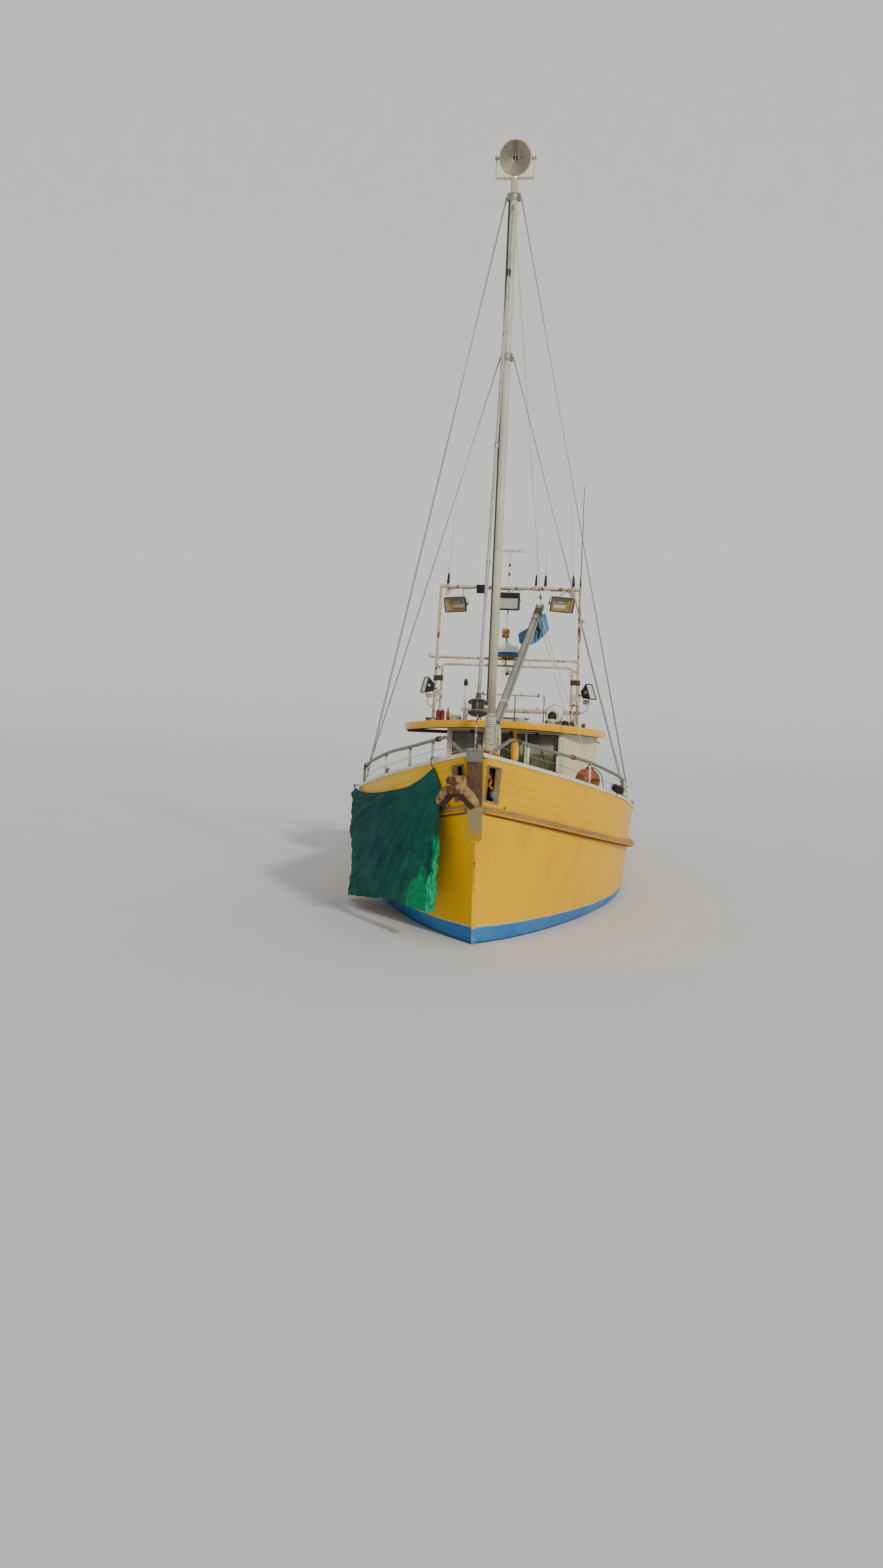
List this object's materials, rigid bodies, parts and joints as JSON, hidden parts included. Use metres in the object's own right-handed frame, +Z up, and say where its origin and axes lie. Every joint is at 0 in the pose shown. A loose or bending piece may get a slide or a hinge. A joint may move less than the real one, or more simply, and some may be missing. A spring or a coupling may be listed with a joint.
{
  "type": "fishing trawler",
  "caption": "Wooden decked fishing trawler afloat, with wheelhouse, mast and boom, light gantry, trawl winch, net drum, hinged hold lid, rudder and propeller.",
  "frame": {"origin": "on the centreline amidships, at the waterline", "axes": "+X to the bow, +Y to port, +Z up"},
  "size_m": [17.072, 5.3388, 14.0697],
  "materials": {
    "hull_paint": "weathered gloss yellow paint on timber",
    "antifouling": "matt blue antifouling",
    "deck_planks": "grey non-slip paint on planks",
    "white_paint": "chalky white paint",
    "worn_timber": "bare, worn, grey",
    "galvanised_steel": "dull galvanising with rust spots",
    "rusty_iron": "rusted, tan",
    "grey_paint": "worn machine paint",
    "orange_plastic": "faded",
    "mast_paint": "cream, streaked",
    "dark_metal": "black, matt",
    "lamp_metal": "cream, stained",
    "wire_rope": "stranded, dull",
    "silver_alloy": "dull",
    "boom_paint": "grey, satin",
    "roof_paint": "gloss yellow",
    "cream_paint": "satin cream",
    "seat_leather": "worn",
    "engine_iron": "painted",
    "gantry_paint": "cream with rust",
    "white_plastic": "gloss",
    "red_paint": "worn",
    "net_twine": "green netting",
    "bronze": "dull bronze",
    "cover_cloth": "creased green cloth"
  },
  "bodies": {
    "boat": {"hull": "hull_paint", "stem": "hull_paint", "keel": "antifouling", "main_deck": "deck_planks", "bulwark_port": "hull_paint", "bulwark_starboard": "hull_paint", "bulwark_stern": "hull_paint", "cap_rail_port": "white_paint", "cap_rail_starboard": "white_paint", "cap_rail_stern": "white_paint", "rubbing_strake_port": "worn_timber", "rubbing_strake_starboard": "worn_timber", "stemhead_fitting": "galvanised_steel", "anchor": "rusty_iron", "bow_rail_port": "galvanised_steel", "bow_rail_starboard": "galvanised_steel", "windlass_frame": "grey_paint", "net_float": "orange_plastic", "mast": "mast_paint", "forestay": "wire_rope", "shroud_upper_port": "wire_rope", "shroud_lower_port": "wire_rope", "shroud_upper_starboard": "wire_rope", "shroud_lower_starboard": "wire_rope", "wheelhouse_roof": "roof_paint", "wheelhouse_front": "cream_paint", "wheelhouse_port_wall": "cream_paint", "wheelhouse_starboard_wall": "cream_paint", "wheelhouse_aft_wall": "cream_paint", "helm_console": "white_paint", "helm_seat": "seat_leather", "engine": "engine_iron", "gantry_post_port": "gantry_paint", "gantry_post_starboard": "gantry_paint", "gantry_top_bar": "gantry_paint", "gantry_lower_bars": "gantry_paint", "radar_dome": "white_plastic", "floodlight_starboard": "lamp_metal", "floodlight_centre": "lamp_metal", "floodlight_port": "lamp_metal", "hatch_coaming": "grey_paint", "winch_frame": "grey_paint", "net_drum_frame": "grey_paint", "gallows_post_port": "galvanised_steel", "gallows_post_starboard": "galvanised_steel", "gallows_beam": "galvanised_steel", "green_cover": "cover_cloth"},
    "windlass_drum": {"windlass_drum": "rusty_iron"},
    "masthead_yoke": {"searchlight_yoke": "dark_metal"},
    "masthead_light": {"searchlight": "lamp_metal"},
    "roller_furler": {"furler": "silver_alloy"},
    "gooseneck": {"boom_gooseneck": "galvanised_steel", "topping_lift": "wire_rope"},
    "cargo_boom": {"boom": "boom_paint"},
    "door": {"wheelhouse_door": "cream_paint"},
    "hold_lid": {"hatch_lid": "worn_timber"},
    "trawl_winch_drum": {"winch_drum": "red_paint"},
    "net_reel": {"net_drum": "net_twine"},
    "screw": {"propeller": "bronze"},
    "steering_rudder": {"rudder": "antifouling"}
  },
  "joints": [
    {"name": "windlass_turn", "type": "hinge", "parent": "boat", "child": "windlass_drum", "pos_m": [6.45, 0, 2.1531], "axis": [0, 1, 0], "continuous": true},
    {"name": "searchlight_pan", "type": "hinge", "parent": "boat", "child": "masthead_yoke", "pos_m": [5.45, 0, 11.7], "axis": [0, 0, 1], "range_deg": [-170, 170]},
    {"name": "searchlight_tilt", "type": "hinge", "parent": "masthead_yoke", "child": "masthead_light", "pos_m": [5.45, 0, 12.005], "axis": [0, 1, 0], "range_deg": [-40, 25]},
    {"name": "furler_turn", "type": "hinge", "parent": "boat", "child": "roller_furler", "pos_m": [8.3846, 0, 3.4101], "axis": [-0.3424, 0, 0.9396], "continuous": true},
    {"name": "boom_swing", "type": "hinge", "parent": "boat", "child": "gooseneck", "pos_m": [5.325, 0, 3], "axis": [0, 0, 1], "range_deg": [-34, 52]},
    {"name": "boom_topping", "type": "hinge", "parent": "gooseneck", "child": "cargo_boom", "pos_m": [5.23116, 0.01482, 3], "axis": [0.156, 0.9878, 0], "range_deg": [-6, 25]},
    {"name": "door_hinge", "type": "hinge", "parent": "boat", "child": "door", "pos_m": [-1.212, -0.852, 2], "axis": [0, 0, 1], "range_deg": [0, 110]},
    {"name": "hatch_lid_hinge", "type": "hinge", "parent": "boat", "child": "hold_lid", "pos_m": [-3.405, 0, 1.41068], "axis": [0, 1, 0], "range_deg": [0, 95]},
    {"name": "trawl_winch_turn", "type": "hinge", "parent": "boat", "child": "trawl_winch_drum", "pos_m": [-2.35, 0, 1.58585], "axis": [0, 1, 0], "continuous": true},
    {"name": "net_drum_turn", "type": "hinge", "parent": "boat", "child": "net_reel", "pos_m": [-6.75, 0, 1.83872], "axis": [0, 1, 0], "continuous": true},
    {"name": "propeller_turn", "type": "hinge", "parent": "boat", "child": "screw", "pos_m": [-6.44, 0, -1.08], "axis": [1, 0, 0], "continuous": true},
    {"name": "rudder_steer", "type": "hinge", "parent": "boat", "child": "steering_rudder", "pos_m": [-7.06, 0, -1], "axis": [0, 0, 1], "range_deg": [-35, 35]}
  ]
}
